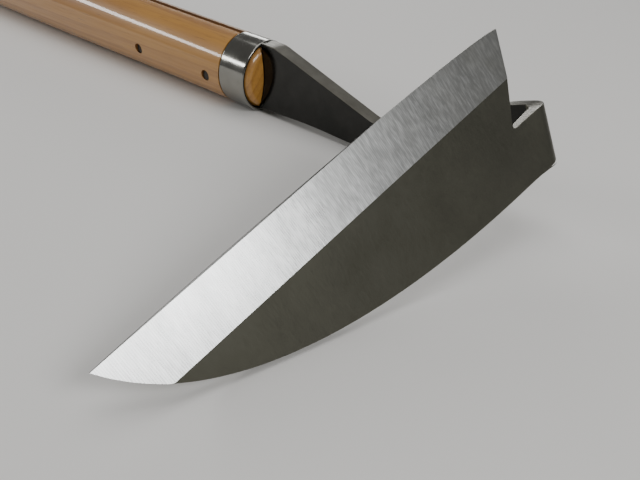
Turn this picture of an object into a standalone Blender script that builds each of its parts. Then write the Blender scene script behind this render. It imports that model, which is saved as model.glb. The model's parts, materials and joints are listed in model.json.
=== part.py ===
"""A nejiri-gama, the one-piece forged Japanese weeding sickle, in metres with +Z up.

The steel is one forging: a thin tang, a tall neck that swoops like a goose's neck, and a blade
turned out of the neck's plane by one tight fold at its heel. The wooden handle has a saw kerf
for the tang, a ferrule over its nose and two cross pins.

Every piece is drawn in the tool's own axes: X runs out of the ferrule along the handle's line,
Z is the side that the cutting edge faces, and the neck's plane is Y = 0. One empty then lays
the whole tool down the way it rests on a bench, cutting edge up, on the underside of its handle
and the spine of its blade, and brings the middle of its footprint to the world's origin.
"""
from math import atan, cos, pi, radians, sin, tan

import bmesh
import bpy
from mathutils import Matrix, Vector
from mathutils.geometry import interpolate_bezier

# ---- driving dimensions -------------------------------------------------------------------
# clearances
SLIP_GAP = 0.0003            # between pieces that are pressed or butted together
PIN_GAP = 0.0002             # round a pin, in its hole

# handle and ferrule: both are turned, then flattened across Y
FLATNESS = 0.925             # width over height of the oval
HANDLE_RADIUS = 0.01475      # half height behind the ferrule
GRIP_RADIUS = 0.0160         # half height where the grip swells
GRIP_CENTRE = -0.175         # the swell's place along X
BUTT_X = -0.228              # the flat end of the handle
BUTT_RADIUS = 0.0100         # half height of that flat end
NOSE_DOME = 0.0026           # how far the end grain stands out of the ferrule
NOSE_RADIUS = 0.0095         # half height where the dome turns into its rounded corner
FERRULE_LENGTH = 0.0140
FERRULE_WALL = 0.0012
FERRULE_ROUND = 0.0005       # rounded rims
ROUND_MIDDLE = 0.3           # a quarter round's middle point, as a share of its radius
SWELL_START = 0.45           # the grip starts to swell at this share of its centre's distance
SWELL_END = 0.70             # and has swollen fully by this share
TAIL_PULL = 0.030            # how long the grip stays full behind its centre
BUTT_FULLNESS = 1.05         # fullness of the rounding into the butt, over the grip's radius
BODY_POINTS = 14
TURNED_STEPS = 72

# kerf, tang and pins
TANG_THICKNESS = 0.0020
TANG_INSET = 0.0021          # from the ferrule's bore to the tang's edges
TANG_END_X = -0.079
TANG_END_HALF_HEIGHT = 0.0085
TANG_LEAD = 0.003            # cut corners at its end, and its lap inside the neck
KERF_END_X = -0.090
PIN_DIAMETER = 0.0042
PIN_RECESS = 0.0010
PIN_ROUND = 0.0004
PIN_Z = -0.0030
FRONT_PIN_SETBACK = 0.0085   # from the ferrule's back rim
PIN_SPACING = 0.0437

# neck, drawn in the plane Y = 0
NECK_THICKNESS = 0.0074      # at the ferrule
FOLD_THICKNESS = 0.0050      # where the neck reaches the fold
SHOULDER_INSET = 0.00045     # from the ferrule's outside down to the neck's upper shoulder
SHOULDER_LIFT = 0.00175      # and up to its lower shoulder
SHOULDER_TOP = HANDLE_RADIUS - SHOULDER_INSET
SHOULDER_BOTTOM = SHOULDER_LIFT - HANDLE_RADIUS
SHOULDER_LENGTH = 0.0070     # level run of the top edge before it drops
DROP_END = Vector((0.0550, -0.0002))     # where the top edge's straight drop ends
DROP_PULL = 0.0180           # how long the top edge keeps that drop's direction
BROW_DROP = 0.0050           # rounding of the top edge's brow, down the drop
BROW_LEVEL = 0.0040          # and back along the level
THROAT_PULL = Vector((0.0120, 0.0006))   # how the bottom edge leaves the ferrule
THROAT = Vector((0.0300, SHOULDER_BOTTOM + 0.0018))      # its bow before the belly
BELLY = Vector((0.0480, -0.0123))        # lowest point of the bottom edge
BELLY_LEAD = 0.0100          # how long the bottom edge is level before it
NECK_POINTS = 10
BELLY_PULL = 0.0280          # how long the bottom edge keeps level after it

# fold: the line where the blade turns out of the neck's plane
FOLD_TOP = Vector((0.1183, 0.0240))
FOLD_HEIGHT = 0.0156
FOLD_CREST = 0.0022          # how far the neck's top edge stands above the fold line's top
FOLD_PULL = Vector((0.0260, 0.0045))     # how the top edge leaves the fold: along and up
FOLD_PULL_LOW = 0.0320       # how long the bottom edge runs straight at the fold
FOLD_LEAN = radians(27.0)    # the line leans this much from upright
FOLD_TURN = radians(99.9)    # how far the blade is turned
FOLD_INNER_RADIUS = 0.0010
FOLD_CUTS = 10
TAB_TAPER = 0.0130           # how far past the bend the plate thins to the blade's thickness
TAB_CUTS = 6

# blade, drawn flat: u runs from the fold line to the tip, v runs up the fold line
BLADE_THICKNESS = 0.0032
HEEL_CORNER = Vector((0.0118, 0.0272))
EDGE_SLOPE = radians(-14.9)  # the cutting edge's line against u
EDGE_LENGTH = 0.1492
POINT_RISE = 0.0002          # how far the blade's point stands out of the edge's line
BLADE_WIDTH = 0.0450         # from the edge's line to the spine, at the heel
HEEL_KINK = Vector((0.0150, 0.0120))
NOTCH = Vector((0.0172, -0.0021))
NOTCH_SIDE = Vector((-0.0001, 0.0022))   # from the notch's corner up its side
NOTCH_FLOOR = Vector((-0.0020, 0.0001))  # and along its floor
TAB_TOP_U = 0.0060           # where the tab's top edge meets the fold
TAB_TOP = 0.0005            # top edge of the tab that joins the blade to the fold
TAB_BOTTOM = -0.0184
TAB_ROUND = 0.0030           # reach of the rounded corner under the fold
SPINE_START_U = 0.0080
SPINE_STEP = 0.0004          # small step where the spine's grinding starts
SPINE_LEAD = 0.0085          # where that step is, past the spine's start
SPINE_FULL = 0.60            # the spine runs nearly level up to this share of the edge
SPINE_SINK = 0.0019          # how far it has sunk there
SPINE_SWEEP = (0.90, 0.55)   # its sweep to the point: shares of edge length and blade width
GRIND_WIDTH = 0.0132         # from the edge's line to the grind line
EDGE_BULGE = 0.0018          # how far the cutting edge bows out of its line
BOW_TIP = (0.65, 1.15)       # the bow at the tip's side: shares of edge length and bulge
BOW_HEEL = (0.012, 1.37)     # at the heel's side: distance along the edge, share of bulge
EDGE_POINTS = 40
CORNER_POINTS = 6
EDGE_LEFT = 0.00025          # steel left at the bow of the edge by the main grind
HONE_START = 0.050           # the honed strip fades in here, along the edge
HONE_INSET = 0.0002          # how far outside the edge's line it starts, at the tip
HONE_ANGLE = radians(16.5)
GRIND_OVERRUN = 0.008        # how far the grinding runs past both ends of the edge
RIM_ROUND = 0.0003           # rounded rims of the forging
CURVE_POINTS = 24

# how the tool lies on a bench: turned about X, then about Y
REST_ROLL = radians(1.56)
REST_PITCH = radians(0.45)

# edges with a sharper turn than this are shaded as creases
CREASE = radians(14.0)
SLIVER = 0.00003             # slivers narrower than this are closed up
WELD = 0.000002              # points closer than this become one
SNAP = 0.000001              # a cut this close to a point goes through it
SOFT_ANGLE = radians(40.0)   # edges sharper than this are rounded where rounding is asked for


# ---- scene --------------------------------------------------------------------------------
def clear_scene():
    """Remove what a new file holds."""
    for obj in list(bpy.data.objects):
        bpy.data.objects.remove(obj, do_unlink=True)


def new_collection(name):
    collection = bpy.data.collections.new(name)
    bpy.context.scene.collection.children.link(collection)
    return collection


clear_scene()
TOOL = new_collection("weeding_sickle")
CUTTERS = new_collection("cutters")


def link(obj, collection):
    """Put an object in one collection; cutters never render."""
    for other in list(obj.users_collection):
        other.objects.unlink(obj)
    collection.objects.link(obj)
    if collection is CUTTERS:
        obj.hide_render = True
        obj.display_type = "WIRE"
    return obj


def material(name, color, metallic, roughness):
    mat = bpy.data.materials.new(name)
    mat.use_nodes = True
    shader = mat.node_tree.nodes["Principled BSDF"]
    shader.inputs["Base Color"].default_value = (*color, 1.0)
    shader.inputs["Metallic"].default_value = metallic
    shader.inputs["Roughness"].default_value = roughness
    return mat


# ---- modelling helpers --------------------------------------------------------------------
def bake(obj, change=None):
    """Replace an object by a mesh object with its modifiers applied, then transform it."""
    graph = bpy.context.evaluated_depsgraph_get()
    graph.update()
    mesh = bpy.data.meshes.new_from_object(obj.evaluated_get(graph))
    weld(mesh)
    mesh.transform(obj.matrix_basis)
    if change is not None:
        mesh.transform(change)
    name, collection = obj.name, obj.users_collection[0]
    bpy.data.objects.remove(obj, do_unlink=True)
    return link(bpy.data.objects.new(name, mesh), collection)


def weld(mesh):
    """Join the caps of a curve to its walls and turn every face outwards."""
    bm = bmesh.new()
    bm.from_mesh(mesh)
    bmesh.ops.remove_doubles(bm, verts=bm.verts, dist=WELD)
    bmesh.ops.recalc_face_normals(bm, faces=bm.faces)
    bm.to_mesh(mesh)
    bm.free()


def turned(name, profile, collection):
    """A closed turned shape about X: profile is (x, radius) pairs, flattened across Y."""
    mesh = bpy.data.meshes.new(name)
    bm = bmesh.new()
    verts = [bm.verts.new((radius, 0.0, x)) for x, radius in profile]
    for first, second in zip(verts, verts[1:]):
        bm.edges.new((first, second))
    if profile[0][1] > 0.0:          # a ring closes on itself, a solid bar ends on the axis
        bm.edges.new((verts[-1], verts[0]))
    bm.to_mesh(mesh)
    bm.free()
    obj = link(bpy.data.objects.new(name, mesh), collection)
    screw = obj.modifiers.new("turn", "SCREW")
    screw.axis = "Z"
    screw.steps = TURNED_STEPS
    screw.render_steps = TURNED_STEPS
    screw.use_merge_vertices = True
    screw.merge_threshold = WELD
    lay_along_x = Matrix.Rotation(pi / 2, 4, "Y")
    flatten = Matrix.Diagonal((1.0, FLATNESS, 1.0, 1.0))
    return bake(obj, flatten @ lay_along_x)


def arc(centre, radius, start, end, points):
    """Points on a circle, from one angle to another."""
    steps = [start + (end - start) * i / (points - 1) for i in range(points)]
    return [(centre[0] + radius * cos(a), centre[1] + radius * sin(a)) for a in steps]


def bezier(start, handle_a, handle_b, end, points=CURVE_POINTS):
    """Points of one cubic curve, its end left out so that stretches can be chained."""
    ends = [Vector((*p, 0.0)) for p in (start, handle_a, handle_b, end)]
    return [p.to_2d() for p in interpolate_bezier(*ends, points)][:-1]


def plate(name, outline, holes, thickness, collection, rim=0.0):
    """A flat plate in the plane Y = 0, from an outline of (x, z) points and round holes."""
    curve = bpy.data.curves.new(name, "CURVE")
    curve.dimensions = "2D"
    curve.fill_mode = "BOTH"
    curve.extrude = thickness / 2 - rim
    curve.bevel_depth = rim
    curve.bevel_resolution = 1
    curve.offset = -rim
    rings = [outline] + [arc(centre, radius, 0.0, 2 * pi, 33)[:-1] for centre, radius in holes]
    for ring in rings:
        spline = curve.splines.new("POLY")
        spline.points.add(len(ring) - 1)
        for point, place in zip(spline.points, ring):
            point.co = (place[0], place[1], 0.0, 1.0)
        spline.use_cyclic_u = True
    obj = link(bpy.data.objects.new(name, curve), collection)
    return bake(obj, Matrix.Rotation(pi / 2, 4, "X"))


def block(name, low, high, collection=CUTTERS):
    """A box between two corners."""
    bpy.ops.mesh.primitive_cube_add(size=1.0)
    obj = bpy.context.object
    obj.name = name
    low, high = Vector(low), Vector(high)
    obj.data.transform(Matrix.Translation((low + high) / 2) @ Matrix.Diagonal((*(high - low), 1.0)))
    return link(obj, collection)


def rod(name, radius, length, place, collection):
    """A round bar across the tool, along Y, centred on place."""
    bpy.ops.mesh.primitive_cylinder_add(vertices=32, radius=radius, depth=length)
    obj = bpy.context.object
    obj.name = name
    obj.data.transform(Matrix.Translation(place) @ Matrix.Rotation(pi / 2, 4, "X"))
    return link(obj, collection)


def boolean(obj, cutter, operation):
    mod = obj.modifiers.new(operation.lower(), "BOOLEAN")
    mod.operation = operation
    mod.solver = "EXACT"
    mod.object = cutter
    return bake(obj)


def soften(obj, width, segments=2):
    """Round the sharp edges."""
    mod = obj.modifiers.new("soften", "BEVEL")
    mod.width = width
    mod.segments = segments
    mod.limit_method = "ANGLE"
    mod.angle_limit = SOFT_ANGLE
    return bake(obj)


# ---- pins and their holes -----------------------------------------------------------------
FRONT_PIN_X = -FERRULE_LENGTH - FRONT_PIN_SETBACK
PIN_XS = {"front_pin": FRONT_PIN_X, "rear_pin": FRONT_PIN_X - PIN_SPACING}
PIN_HOLE_RADIUS = PIN_DIAMETER / 2 + PIN_GAP
PIN_LENGTH = 2 * (HANDLE_RADIUS * FLATNESS - PIN_RECESS)


def make_pins():
    pins = []
    for name, x in PIN_XS.items():
        pin = rod(name, PIN_DIAMETER / 2, PIN_LENGTH, (x, 0.0, PIN_Z), TOOL)
        pins.append(soften(pin, PIN_ROUND))
    return pins


# ---- ferrule ------------------------------------------------------------------------------
def make_ferrule():
    outer, inner = HANDLE_RADIUS, HANDLE_RADIUS - FERRULE_WALL
    front, back = 0.0, -FERRULE_LENGTH
    r, m = FERRULE_ROUND, FERRULE_ROUND * ROUND_MIDDLE
    profile = [(front, inner + r / 2), (front, outer - r), (front - m, outer - m),
               (front - r, outer), (back + r, outer), (back + m, outer - m),
               (back, outer - r), (back, inner), (front - r / 2, inner)]
    return turned("ferrule", profile, TOOL)


# ---- handle -------------------------------------------------------------------------------
def make_handle():
    seat = HANDLE_RADIUS - FERRULE_WALL - SLIP_GAP
    shoulder_x = -FERRULE_LENGTH - SLIP_GAP
    corner = seat - NOSE_RADIUS
    nose = [(NOSE_DOME * (1 - (f * NOSE_RADIUS / seat) ** 2), f * NOSE_RADIUS) for f in (0, 0.5, 1)]
    rounding = [(nose[-1][0] - corner * (1 - cos(a)), NOSE_RADIUS + corner * sin(a))
                for a in (pi / 8, pi / 4, 3 * pi / 8, pi / 2)]
    body = bezier((shoulder_x, HANDLE_RADIUS), (GRIP_CENTRE * SWELL_START, HANDLE_RADIUS),
                  (GRIP_CENTRE * SWELL_END, GRIP_RADIUS), (GRIP_CENTRE, GRIP_RADIUS),
                  BODY_POINTS)
    tail = bezier((GRIP_CENTRE, GRIP_RADIUS), (GRIP_CENTRE - TAIL_PULL, GRIP_RADIUS),
                  (BUTT_X, GRIP_RADIUS * BUTT_FULLNESS), (BUTT_X, BUTT_RADIUS), BODY_POINTS)
    profile = nose + rounding + [(shoulder_x, seat)] + [tuple(p) for p in body + tail]
    profile += [(BUTT_X, BUTT_RADIUS), (BUTT_X, 0.0)]
    handle = turned("handle", profile, TOOL)

    reach = GRIP_RADIUS * 2
    kerf = TANG_THICKNESS / 2 + SLIP_GAP
    handle = boolean(handle, block("kerf", (KERF_END_X, -kerf, -reach), (reach, kerf, reach)),
                     "DIFFERENCE")
    seat_half = NECK_THICKNESS / 2 + SLIP_GAP
    neck_seat = block("neck_seat", (0.0, -seat_half, -reach), (reach, seat_half, reach))
    handle = boolean(handle, neck_seat, "DIFFERENCE")
    for name, x in PIN_XS.items():
        hole = rod(name + "_hole", PIN_HOLE_RADIUS, reach * 2, (x, 0.0, PIN_Z), CUTTERS)
        handle = boolean(handle, hole, "DIFFERENCE")
    return handle


# ---- the forging: tang, neck and blade ----------------------------------------------------
ALONG = Vector((cos(FOLD_LEAN), sin(FOLD_LEAN)))      # out of the neck, square to the fold line
UP = Vector((-sin(FOLD_LEAN), cos(FOLD_LEAN)))        # up the fold line
FOLD_RADIUS = FOLD_INNER_RADIUS + FOLD_THICKNESS / 2  # of the bend's middle
FOLD_ARC = FOLD_RADIUS * FOLD_TURN
FOLD_TANGENT = FOLD_RADIUS * tan(FOLD_TURN / 2)       # from the bend's start to the fold line
EDGE_ALONG = Vector((cos(EDGE_SLOPE), sin(EDGE_SLOPE)))
EDGE_INTO = Vector((sin(EDGE_SLOPE), -cos(EDGE_SLOPE)))
ACROSS = Vector((0.0, 1.0, 0.0))                      # square to the neck's plane
TANG_HALF_HEIGHT = HANDLE_RADIUS - FERRULE_WALL - TANG_INSET
SHOULDER_X = SLIP_GAP


def flat(u, v):
    """Where a point of the blade, (u, v), lies in the plate before it is folded."""
    slack = 2 * FOLD_TANGENT - FOLD_ARC
    return FOLD_TOP + ALONG * (u - slack) + UP * v


def on_fold(v):
    """A point on the fold line, in the plate before it is folded."""
    return FOLD_TOP + UP * v


def from_edge(along, into):
    """A blade point from its place along the edge's line and its depth behind that line."""
    return HEEL_CORNER + EDGE_ALONG * along + EDGE_INTO * into


def neck_and_blade_outline():
    """The plate in front of the ferrule, anticlockwise from its lower shoulder."""
    start = Vector((SHOULDER_X, SHOULDER_BOTTOM))
    fold_low = on_fold(-FOLD_HEIGHT) - ALONG * FOLD_TANGENT
    outline = [start] + bezier(start + THROAT_PULL, THROAT,
                               BELLY - Vector((BELLY_LEAD, 0.0)), BELLY, NECK_POINTS)
    outline += bezier(BELLY, BELLY + Vector((BELLY_PULL, 0.0)),
                      fold_low - ALONG * FOLD_PULL_LOW, fold_low)
    tab_end = flat(SPINE_START_U, TAB_BOTTOM)
    outline += bezier(fold_low, fold_low + ALONG * TAB_ROUND,
                      tab_end - ALONG * (SPINE_START_U - TAB_ROUND), tab_end, CORNER_POINTS + 1)
    outline += [tab_end]

    point = from_edge(EDGE_LENGTH, -POINT_RISE)
    spine_foot = from_edge(SPINE_START_U - HEEL_CORNER.x + SPINE_LEAD, BLADE_WIDTH + SPINE_STEP)
    spine = bezier(spine_foot, from_edge(EDGE_LENGTH * SPINE_FULL, BLADE_WIDTH - SPINE_SINK),
                   from_edge(EDGE_LENGTH * SPINE_SWEEP[0], BLADE_WIDTH * SPINE_SWEEP[1]), point,
                   CURVE_POINTS * 2)
    edge = bezier(point, from_edge(EDGE_LENGTH * BOW_TIP[0], -EDGE_BULGE * BOW_TIP[1]),
                  from_edge(BOW_HEEL[0], -EDGE_BULGE * BOW_HEEL[1]), from_edge(0.0, 0.0),
                  EDGE_POINTS)
    heel = [HEEL_KINK]
    notch = bezier(NOTCH + NOTCH_SIDE, NOTCH, NOTCH, NOTCH + NOTCH_FLOOR, CORNER_POINTS)
    blade = spine + edge + [HEEL_CORNER] + heel + notch + [Vector((TAB_TOP_U, TAB_TOP))]
    outline += [flat(*point) for point in blade]

    fold_high = on_fold(FOLD_CREST) - ALONG * FOLD_TANGENT
    brow = Vector((SHOULDER_LENGTH, SHOULDER_TOP))
    drop = (brow - DROP_END).normalized()
    outline += bezier(fold_high, fold_high - ALONG * FOLD_PULL.x + UP * FOLD_PULL.y,
                      DROP_END - drop * DROP_PULL, DROP_END)
    outline += [DROP_END]
    outline += bezier(brow - drop * BROW_DROP, brow, brow,
                      brow - Vector((BROW_LEVEL, 0.0)), CORNER_POINTS)
    outline += [Vector((SHOULDER_X, SHOULDER_TOP))]
    return outline


def tang_outline():
    """The tang, from inside the neck back to its end in the kerf."""
    half, end = TANG_HALF_HEIGHT, TANG_END_HALF_HEIGHT
    lead = TANG_LEAD
    return [(TANG_END_X, -end + lead), (TANG_END_X + lead, -end), (-FERRULE_LENGTH, -half),
            (SHOULDER_X + lead, -half), (SHOULDER_X + lead, half), (-FERRULE_LENGTH, half),
            (TANG_END_X + lead, end), (TANG_END_X, end - lead)]


def cut_across(obj, distances):
    """Cut new edges across the plate, parallel to the fold line, at distances past the bend's start."""
    bm = bmesh.new()
    bm.from_mesh(obj.data)
    origin = FOLD_TOP - ALONG * FOLD_TANGENT
    for distance in distances:
        place = origin + ALONG * distance
        everything = bm.verts[:] + bm.edges[:] + bm.faces[:]
        bmesh.ops.bisect_plane(bm, geom=everything, dist=SNAP,
                               plane_co=(place.x, 0.0, place.y),
                               plane_no=(ALONG.x, 0.0, ALONG.y))
    bmesh.ops.dissolve_degenerate(bm, edges=bm.edges, dist=SLIVER)
    bm.to_mesh(obj.data)
    bm.free()


def past_bend_start(co):
    return (Vector((co.x, co.z)) - FOLD_TOP).dot(ALONG) + FOLD_TANGENT


def thin_out(obj):
    """Taper the plate from the ferrule to the fold, and on to the blade's thickness."""
    ferrule_end = past_bend_start(Vector((SHOULDER_X, 0.0, 0.0)))
    for vert in obj.data.vertices:
        d = past_bend_start(vert.co)
        if d < 0.0:
            thickness = FOLD_THICKNESS + (NECK_THICKNESS - FOLD_THICKNESS) * d / ferrule_end
        else:
            share = min(d / (FOLD_ARC + TAB_TAPER), 1.0)
            share = share * share * (3.0 - 2.0 * share)
            thickness = FOLD_THICKNESS + (BLADE_THICKNESS - FOLD_THICKNESS) * share
        vert.co.y *= thickness / NECK_THICKNESS


def fold(obj):
    """Turn everything past the bend's start round the bend, towards -Y."""
    start = FOLD_TOP - ALONG * FOLD_TANGENT
    along, up = Vector((ALONG.x, 0.0, ALONG.y)), Vector((UP.x, 0.0, UP.y))
    centre = Vector((start.x, -FOLD_RADIUS, start.y))
    for vert in obj.data.vertices:
        d = past_bend_start(vert.co)
        if d <= 0.0:
            continue
        height = (vert.co - Vector((start.x, 0.0, start.y))).dot(up)
        turn = min(d / FOLD_RADIUS, FOLD_TURN)
        beyond = max(0.0, d - FOLD_ARC)
        radius = FOLD_RADIUS + vert.co.y
        outward = along * sin(turn) + ACROSS * cos(turn)
        onward = along * cos(turn) - ACROSS * sin(turn)
        vert.co = centre + up * height + outward * radius + onward * beyond


def grind(obj, name, near, far, angle):
    """Grind the blade's outer face flat along a line, sloping down to the cutting edge.

    near and far are (along the edge, depth behind the edge's line, height of steel left).
    """
    ends = []
    for along, into, left in (near, far):
        place = flat(*from_edge(along, into))
        ends.append(Vector((place.x, left - BLADE_THICKNESS / 2, place.y)))
    run = (ends[1] - ends[0]).normalized()
    towards_edge = run.cross(ACROSS).normalized()
    slope = towards_edge * cos(angle) - ACROSS * sin(angle)
    normal = slope.cross(run)
    cutter = block(name, (0.0, 0.0, 0.0),
                   (GRIND_WIDTH * 2, (ends[1] - ends[0]).length, BLADE_THICKNESS * 3))
    turn = Matrix((slope, run, normal)).transposed().to_4x4()
    cutter.data.transform(Matrix.Translation(ends[0]) @ turn)
    return boolean(obj, cutter, "DIFFERENCE")


def make_forging():
    """Draw the plate flat, taper it, grind the blade, join the tang, then fold the blade round."""
    steel = plate("forging", neck_and_blade_outline(), [], NECK_THICKNESS, TOOL, RIM_ROUND)
    bend_cuts = [FOLD_ARC * i / FOLD_CUTS for i in range(FOLD_CUTS)]
    tab_cuts = [FOLD_ARC + TAB_TAPER * i / TAB_CUTS for i in range(TAB_CUTS + 1)]
    cut_across(steel, bend_cuts + tab_cuts)
    thin_out(steel)

    rise = (BLADE_THICKNESS - EDGE_LEFT) / (GRIND_WIDTH + EDGE_BULGE)
    steel = grind(steel, "main_grind", (-GRIND_OVERRUN, GRIND_WIDTH, BLADE_THICKNESS),
                  (EDGE_LENGTH + GRIND_OVERRUN, GRIND_WIDTH, BLADE_THICKNESS), atan(rise))
    tip_left = EDGE_LEFT + (EDGE_BULGE - HONE_INSET) * rise
    steel = grind(steel, "hone", (HONE_START, -EDGE_BULGE, EDGE_LEFT),
                  (EDGE_LENGTH, -HONE_INSET, tip_left), HONE_ANGLE)

    holes = [((x, PIN_Z), PIN_HOLE_RADIUS) for x in PIN_XS.values()]
    tang = plate("tang", tang_outline(), holes, TANG_THICKNESS, CUTTERS)
    steel = boolean(steel, tang, "UNION")
    fold(steel)
    return steel


# ---- the tool -----------------------------------------------------------------------------
PIECES = {
    "forging": (make_forging, material("steel", (0.62, 0.62, 0.60), 1.0, 0.30)),
    "handle": (make_handle, material("wood", (0.60, 0.33, 0.11), 0.0, 0.35)),
    "ferrule": (make_ferrule, material("bright_ring", (0.70, 0.70, 0.68), 1.0, 0.15)),
}
PIN_MATERIAL = material("dark_pin", (0.08, 0.08, 0.08), 1.0, 0.45)


def finish(obj, mat, rest):
    """Give a piece its material, smooth its round faces and hang it on the resting empty."""
    obj.data.materials.clear()
    obj.data.materials.append(mat)
    obj.data.shade_smooth()
    obj.data.set_sharp_from_angle(angle=CREASE)
    obj.parent = rest


def lay_down(rest, pieces):
    """Turn the tool as it lies on a bench and centre its footprint on the world's origin."""
    rest.rotation_euler = (REST_ROLL, REST_PITCH, 0.0)
    turn = rest.rotation_euler.to_matrix()
    places = [turn @ vert.co for piece in pieces for vert in piece.data.vertices]
    low = [min(place[i] for place in places) for i in range(3)]
    high = [max(place[i] for place in places) for i in range(3)]
    rest.location = (-(low[0] + high[0]) / 2, -(low[1] + high[1]) / 2, -low[2])


def main():
    rest = bpy.data.objects.new("rest", None)
    TOOL.objects.link(rest)
    pieces = []
    for make, mat in PIECES.values():
        piece = make()
        finish(piece, mat, rest)
        pieces.append(piece)
    for pin in make_pins():
        finish(pin, PIN_MATERIAL, rest)
    lay_down(rest, pieces)
    bpy.context.view_layer.update()


main()
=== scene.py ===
# %% [markdown]
# # A folded weeding sickle, made step by step
# The nejiri-gama is a one-hand weeding tool from Japanese gardens. Its steel is a single
# forging: a thin tang that hides in the handle, a tall neck that swoops like a goose's neck,
# and a blade turned out of the neck by one tight fold at its heel. The wood has a saw kerf for
# the tang, a polished ring over its nose and two cross pins.
#
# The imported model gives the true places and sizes. Its solids are faceted, so each piece is
# made again here with finer curves, in the same place, and then given its finish.

import json
from math import atan, cos, pi, radians, sin, tan

import bmesh
import bpy
from mathutils import Euler, Matrix, Vector
from mathutils.geometry import interpolate_bezier

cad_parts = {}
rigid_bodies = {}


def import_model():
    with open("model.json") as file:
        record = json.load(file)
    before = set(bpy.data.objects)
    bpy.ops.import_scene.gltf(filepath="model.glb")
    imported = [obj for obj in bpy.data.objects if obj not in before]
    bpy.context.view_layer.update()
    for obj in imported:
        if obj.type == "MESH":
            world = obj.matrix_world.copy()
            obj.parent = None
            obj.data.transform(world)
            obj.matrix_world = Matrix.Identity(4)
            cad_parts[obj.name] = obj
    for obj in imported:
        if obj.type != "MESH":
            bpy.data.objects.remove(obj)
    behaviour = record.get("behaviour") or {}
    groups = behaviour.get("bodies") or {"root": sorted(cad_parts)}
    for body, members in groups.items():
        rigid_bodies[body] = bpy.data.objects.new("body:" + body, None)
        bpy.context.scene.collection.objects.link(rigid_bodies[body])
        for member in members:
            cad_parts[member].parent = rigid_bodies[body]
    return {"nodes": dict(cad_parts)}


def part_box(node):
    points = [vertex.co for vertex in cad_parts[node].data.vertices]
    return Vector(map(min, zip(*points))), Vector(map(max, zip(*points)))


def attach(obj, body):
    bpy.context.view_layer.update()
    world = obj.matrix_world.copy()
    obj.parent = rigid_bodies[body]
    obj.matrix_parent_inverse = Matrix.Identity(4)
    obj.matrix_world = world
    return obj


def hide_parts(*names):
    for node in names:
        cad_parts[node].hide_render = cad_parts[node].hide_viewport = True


for old in list(bpy.data.objects):
    bpy.data.objects.remove(old, do_unlink=True)
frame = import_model()
bpy.context.view_layer.update()
print("nodes:", sorted(frame["nodes"]))

# %% [markdown]
# ## Where the tool lies
# A toolmaker draws this tool along its handle, so every piece below is made in the tool's own
# axes: X runs out of the ferrule along the handle, Z is the side that the cutting edge faces,
# and the neck stands in the plane Y = 0. The tool then lies on a bench a little rolled and
# pitched. The ferrule is a plain ring, so the middle of its box is its own middle, and that
# one point fixes the place of everything.

# %% The tool's axes in the world
FERRULE_LENGTH = 0.0140
ROLL = radians(1.56)
PITCH = radians(0.45)


def middle(node):
    """The middle of a node's box."""
    low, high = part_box(node)
    return (low + high) / 2


TURN = Euler((ROLL, PITCH, 0.0)).to_matrix().to_4x4()
ferrule_middle = TURN @ Vector((-FERRULE_LENGTH / 2, 0.0, 0.0))
LIE = Matrix.Translation(middle("ferrule") - ferrule_middle) @ TURN
print("ferrule's front rim is centred at, mm:", [round(c * 1000, 2) for c in LIE.translation])

# %% [markdown]
# ## Camera
# A short distance makes the blade loom large in front while the handle runs away out of
# sight, which is what shows the fold and the neck behind the blade. The camera stands in
# front of the fold, a little above the edge, and looks back down the handle.

# %% Camera
LENS = 41.8
EYE = Vector((0.2025, -0.2133, 0.1088))
LOOK = Vector((-0.5219, 0.6626, -0.5372))
HEAD_UP = Vector((-0.3910, 0.3739, 0.8410))


def camera_matrix(eye, look, head_up):
    """A camera's place and turn from where it stands and looks."""
    look = look.normalized()
    right = look.cross(head_up).normalized()
    true_up = right.cross(look)
    turn = Matrix((right, true_up, -look)).transposed().to_4x4()
    return Matrix.Translation(eye) @ turn


camera_data = bpy.data.cameras.new("camera")
camera_data.lens = LENS
camera_data.clip_start = 0.01
camera = bpy.data.objects.new("camera", camera_data)
camera.matrix_world = LIE @ camera_matrix(EYE, LOOK, HEAD_UP)
bpy.context.scene.collection.objects.link(camera)
bpy.context.scene.camera = camera
print("camera stands at, mm:", [round(c * 1000) for c in camera.matrix_world.translation])

# %% [markdown]
# ## Modelling helpers
# Each shape goes through the same bench work: draw it, let a modifier do the hard part, then
# bake the result to a plain mesh. Baking after each step keeps the steps independent, so a
# cut can use what the last one left.

# %% Baking and welding
WORKSHOP = bpy.context.scene.collection
WELD = 0.000002              # points closer than this become one


def weld(mesh):
    """Join points that fell together and turn every face outwards."""
    bm = bmesh.new()
    bm.from_mesh(mesh)
    bmesh.ops.remove_doubles(bm, verts=bm.verts, dist=WELD)
    bmesh.ops.recalc_face_normals(bm, faces=bm.faces)
    bm.to_mesh(mesh)
    bm.free()


def bake(obj, change=None):
    """Apply an object's modifiers and give it a plain mesh, changed by a matrix if need be."""
    graph = bpy.context.evaluated_depsgraph_get()
    graph.update()
    mesh = bpy.data.meshes.new_from_object(obj.evaluated_get(graph))
    weld(mesh)
    if change is not None:
        mesh.transform(change)
    name = obj.name
    bpy.data.objects.remove(obj, do_unlink=True)
    baked = bpy.data.objects.new(name, mesh)
    WORKSHOP.objects.link(baked)
    return baked


# %% [markdown]
# The handle, the ferrule and the pins come off a lathe. A Screw modifier turns a half profile
# about an axis, which is what the lathe does, and a small squeeze across makes the oval that
# keeps the tool from rolling in the hand.

# %% Turned shapes
TURNED_STEPS = 144


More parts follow.
